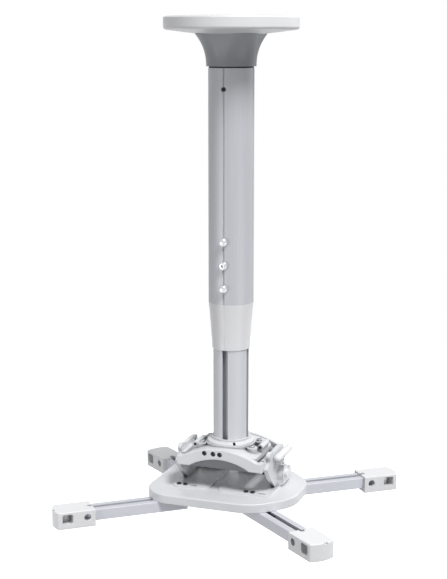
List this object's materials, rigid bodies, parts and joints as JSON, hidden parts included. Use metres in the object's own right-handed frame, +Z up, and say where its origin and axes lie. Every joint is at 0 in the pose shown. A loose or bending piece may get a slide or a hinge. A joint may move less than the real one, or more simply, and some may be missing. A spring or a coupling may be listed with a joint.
{
  "type": "projector ceiling mount",
  "caption": "Ceiling mount for a projector: round cover, telescopic column, head that swivels, rolls and tilts, and a base plate with slotted sliding arms.",
  "frame": {"origin": "centre of the ceiling plate's top face", "axes": "+Z up towards the ceiling, -Y towards the front of the mount, +X to the right seen from the front"},
  "size_m": [0.4327, 0.3604, 0.7112],
  "materials": {
    "white_plastic": "satin",
    "grey_plastic": "satin",
    "dark_rubber": "matte",
    "tube_paint": "satin",
    "column_paint": "satin",
    "white_paint": "satin",
    "grey_paint": "satin",
    "arm_aluminium": "satin",
    "steel": "satin",
    "plated_steel": "satin",
    "dark_steel": "satin"
  },
  "bodies": {
    "ceiling_tube": {"ceiling_plate": "steel", "tube_socket": "steel", "socket_screws": "dark_steel", "ceiling_cover": "white_plastic", "neck_fairing": "grey_plastic", "tube_gasket": "dark_rubber", "outer_tube": "tube_paint", "tube_lock_screw": "dark_steel", "tube_collar": "white_plastic", "clamp_bolts": "plated_steel", "clamp_nuts": "steel"},
    "column": {"inner_column": "column_paint", "guide_bush": "white_plastic", "swivel_collar": "white_paint", "swivel_set_screw": "dark_steel", "swivel_retainer": "steel", "retainer_screws": "dark_steel"},
    "saddle": {"roll_saddle": "white_paint", "roll_shoe": "grey_paint", "saddle_screws": "plated_steel", "adjuster_screws": "dark_steel"},
    "yoke": {"arched_yoke": "white_paint", "shoulder_screws": "dark_steel", "tilt_guide_screw": "plated_steel"},
    "base": {"left_cheek": "white_paint", "right_cheek": "white_paint", "cradle_screws": "plated_steel", "left_tilt_pin": "steel", "right_tilt_pin": "steel", "release_housing": "white_paint", "base_plate": "white_paint", "arm_screws": "plated_steel"},
    "lever": {"tilt_lever": "white_plastic"},
    "button": {"release_button": "white_plastic"},
    "pivot_back_right": {"slide_block_back_right": "dark_steel"},
    "arm_back_right": {"arm_back_right": "arm_aluminium", "foot_back_right": "white_plastic"},
    "insert_back_right": {"foot_insert_back_right": "white_plastic"},
    "pivot_back_left": {"slide_block_back_left": "dark_steel"},
    "arm_back_left": {"arm_back_left": "arm_aluminium", "foot_back_left": "white_plastic"},
    "insert_back_left": {"foot_insert_back_left": "white_plastic"},
    "pivot_front_left": {"slide_block_front_left": "dark_steel"},
    "arm_front_left": {"arm_front_left": "arm_aluminium", "foot_front_left": "white_plastic"},
    "insert_front_left": {"foot_insert_front_left": "white_plastic"},
    "pivot_front_right": {"slide_block_front_right": "dark_steel"},
    "arm_front_right": {"arm_front_right": "arm_aluminium", "foot_front_right": "white_plastic"},
    "insert_front_right": {"foot_insert_front_right": "white_plastic"}
  },
  "joints": [
    {"name": "drop_slide", "type": "slide", "parent": "ceiling_tube", "child": "column", "axis": [0, 0, -1], "range_m": [-0.085, 0.085]},
    {"name": "swivel", "type": "hinge", "parent": "column", "child": "saddle", "pos_m": [0, 0, -0.62], "axis": [0, 0, 1], "continuous": true},
    {"name": "roll", "type": "hinge", "parent": "saddle", "child": "yoke", "pos_m": [0, 0, -0.731], "axis": [0, 1, 0], "range_deg": [-3.5, 3.5]},
    {"name": "tilt", "type": "hinge", "parent": "yoke", "child": "base", "pos_m": [0, 0, -0.633], "axis": [1, 0, 0], "range_deg": [-15, 15]},
    {"name": "tilt_lever_turn", "type": "hinge", "parent": "base", "child": "lever", "pos_m": [0.0768, 0, -0.633], "axis": [1, 0, 0], "range_deg": [0, 80]},
    {"name": "release_press", "type": "slide", "parent": "base", "child": "button", "axis": [-1, 0, 0], "range_m": [0, 0.003], "stiffness_N_per_m": 300, "springref_m": -0.003},
    {"name": "pivot_back_right", "type": "hinge", "parent": "base", "child": "pivot_back_right", "pos_m": [0.07435, 0.05914, -0.695], "axis": [0, 0, 1], "range_deg": [-25, 25]},
    {"name": "slide_back_right", "type": "slide", "parent": "pivot_back_right", "child": "arm_back_right", "axis": [0.7826, 0.6225, 0], "range_m": [-0.052, 0.0085]},
    {"name": "insert_turn_back_right", "type": "hinge", "parent": "arm_back_right", "child": "insert_back_right", "pos_m": [0.19487, 0.15501, -0.7016], "axis": [0, 0, 1], "continuous": true},
    {"name": "pivot_back_left", "type": "hinge", "parent": "base", "child": "pivot_back_left", "pos_m": [-0.07435, 0.05914, -0.695], "axis": [0, 0, 1], "range_deg": [-25, 25]},
    {"name": "slide_back_left", "type": "slide", "parent": "pivot_back_left", "child": "arm_back_left", "axis": [-0.7826, 0.6225, 0], "range_m": [-0.017, 0.0435]},
    {"name": "insert_turn_back_left", "type": "hinge", "parent": "arm_back_left", "child": "insert_back_left", "pos_m": [-0.16748, 0.13322, -0.7016], "axis": [0, 0, 1], "continuous": true},
    {"name": "pivot_front_left", "type": "hinge", "parent": "base", "child": "pivot_front_left", "pos_m": [-0.0733, -0.06043, -0.695], "axis": [0, 0, 1], "range_deg": [-25, 25]},
    {"name": "slide_front_left", "type": "slide", "parent": "pivot_front_left", "child": "arm_front_left", "axis": [-0.7716, -0.6361, 0], "range_m": [-0.054, 0.0065]},
    {"name": "insert_turn_front_left", "type": "hinge", "parent": "arm_front_left", "child": "insert_front_left", "pos_m": [-0.19368, -0.15966, -0.7016], "axis": [0, 0, 1], "continuous": true},
    {"name": "pivot_front_right", "type": "hinge", "parent": "base", "child": "pivot_front_right", "pos_m": [0.07224, -0.0617, -0.695], "axis": [0, 0, 1], "range_deg": [-25, 25]},
    {"name": "slide_front_right", "type": "slide", "parent": "pivot_front_right", "child": "arm_front_right", "axis": [0.7604, -0.6494, 0], "range_m": [-0.033, 0.0275]},
    {"name": "insert_turn_front_right", "type": "hinge", "parent": "arm_front_right", "child": "insert_front_right", "pos_m": [0.17489, -0.14937, -0.7016], "axis": [0, 0, 1], "continuous": true}
  ]
}
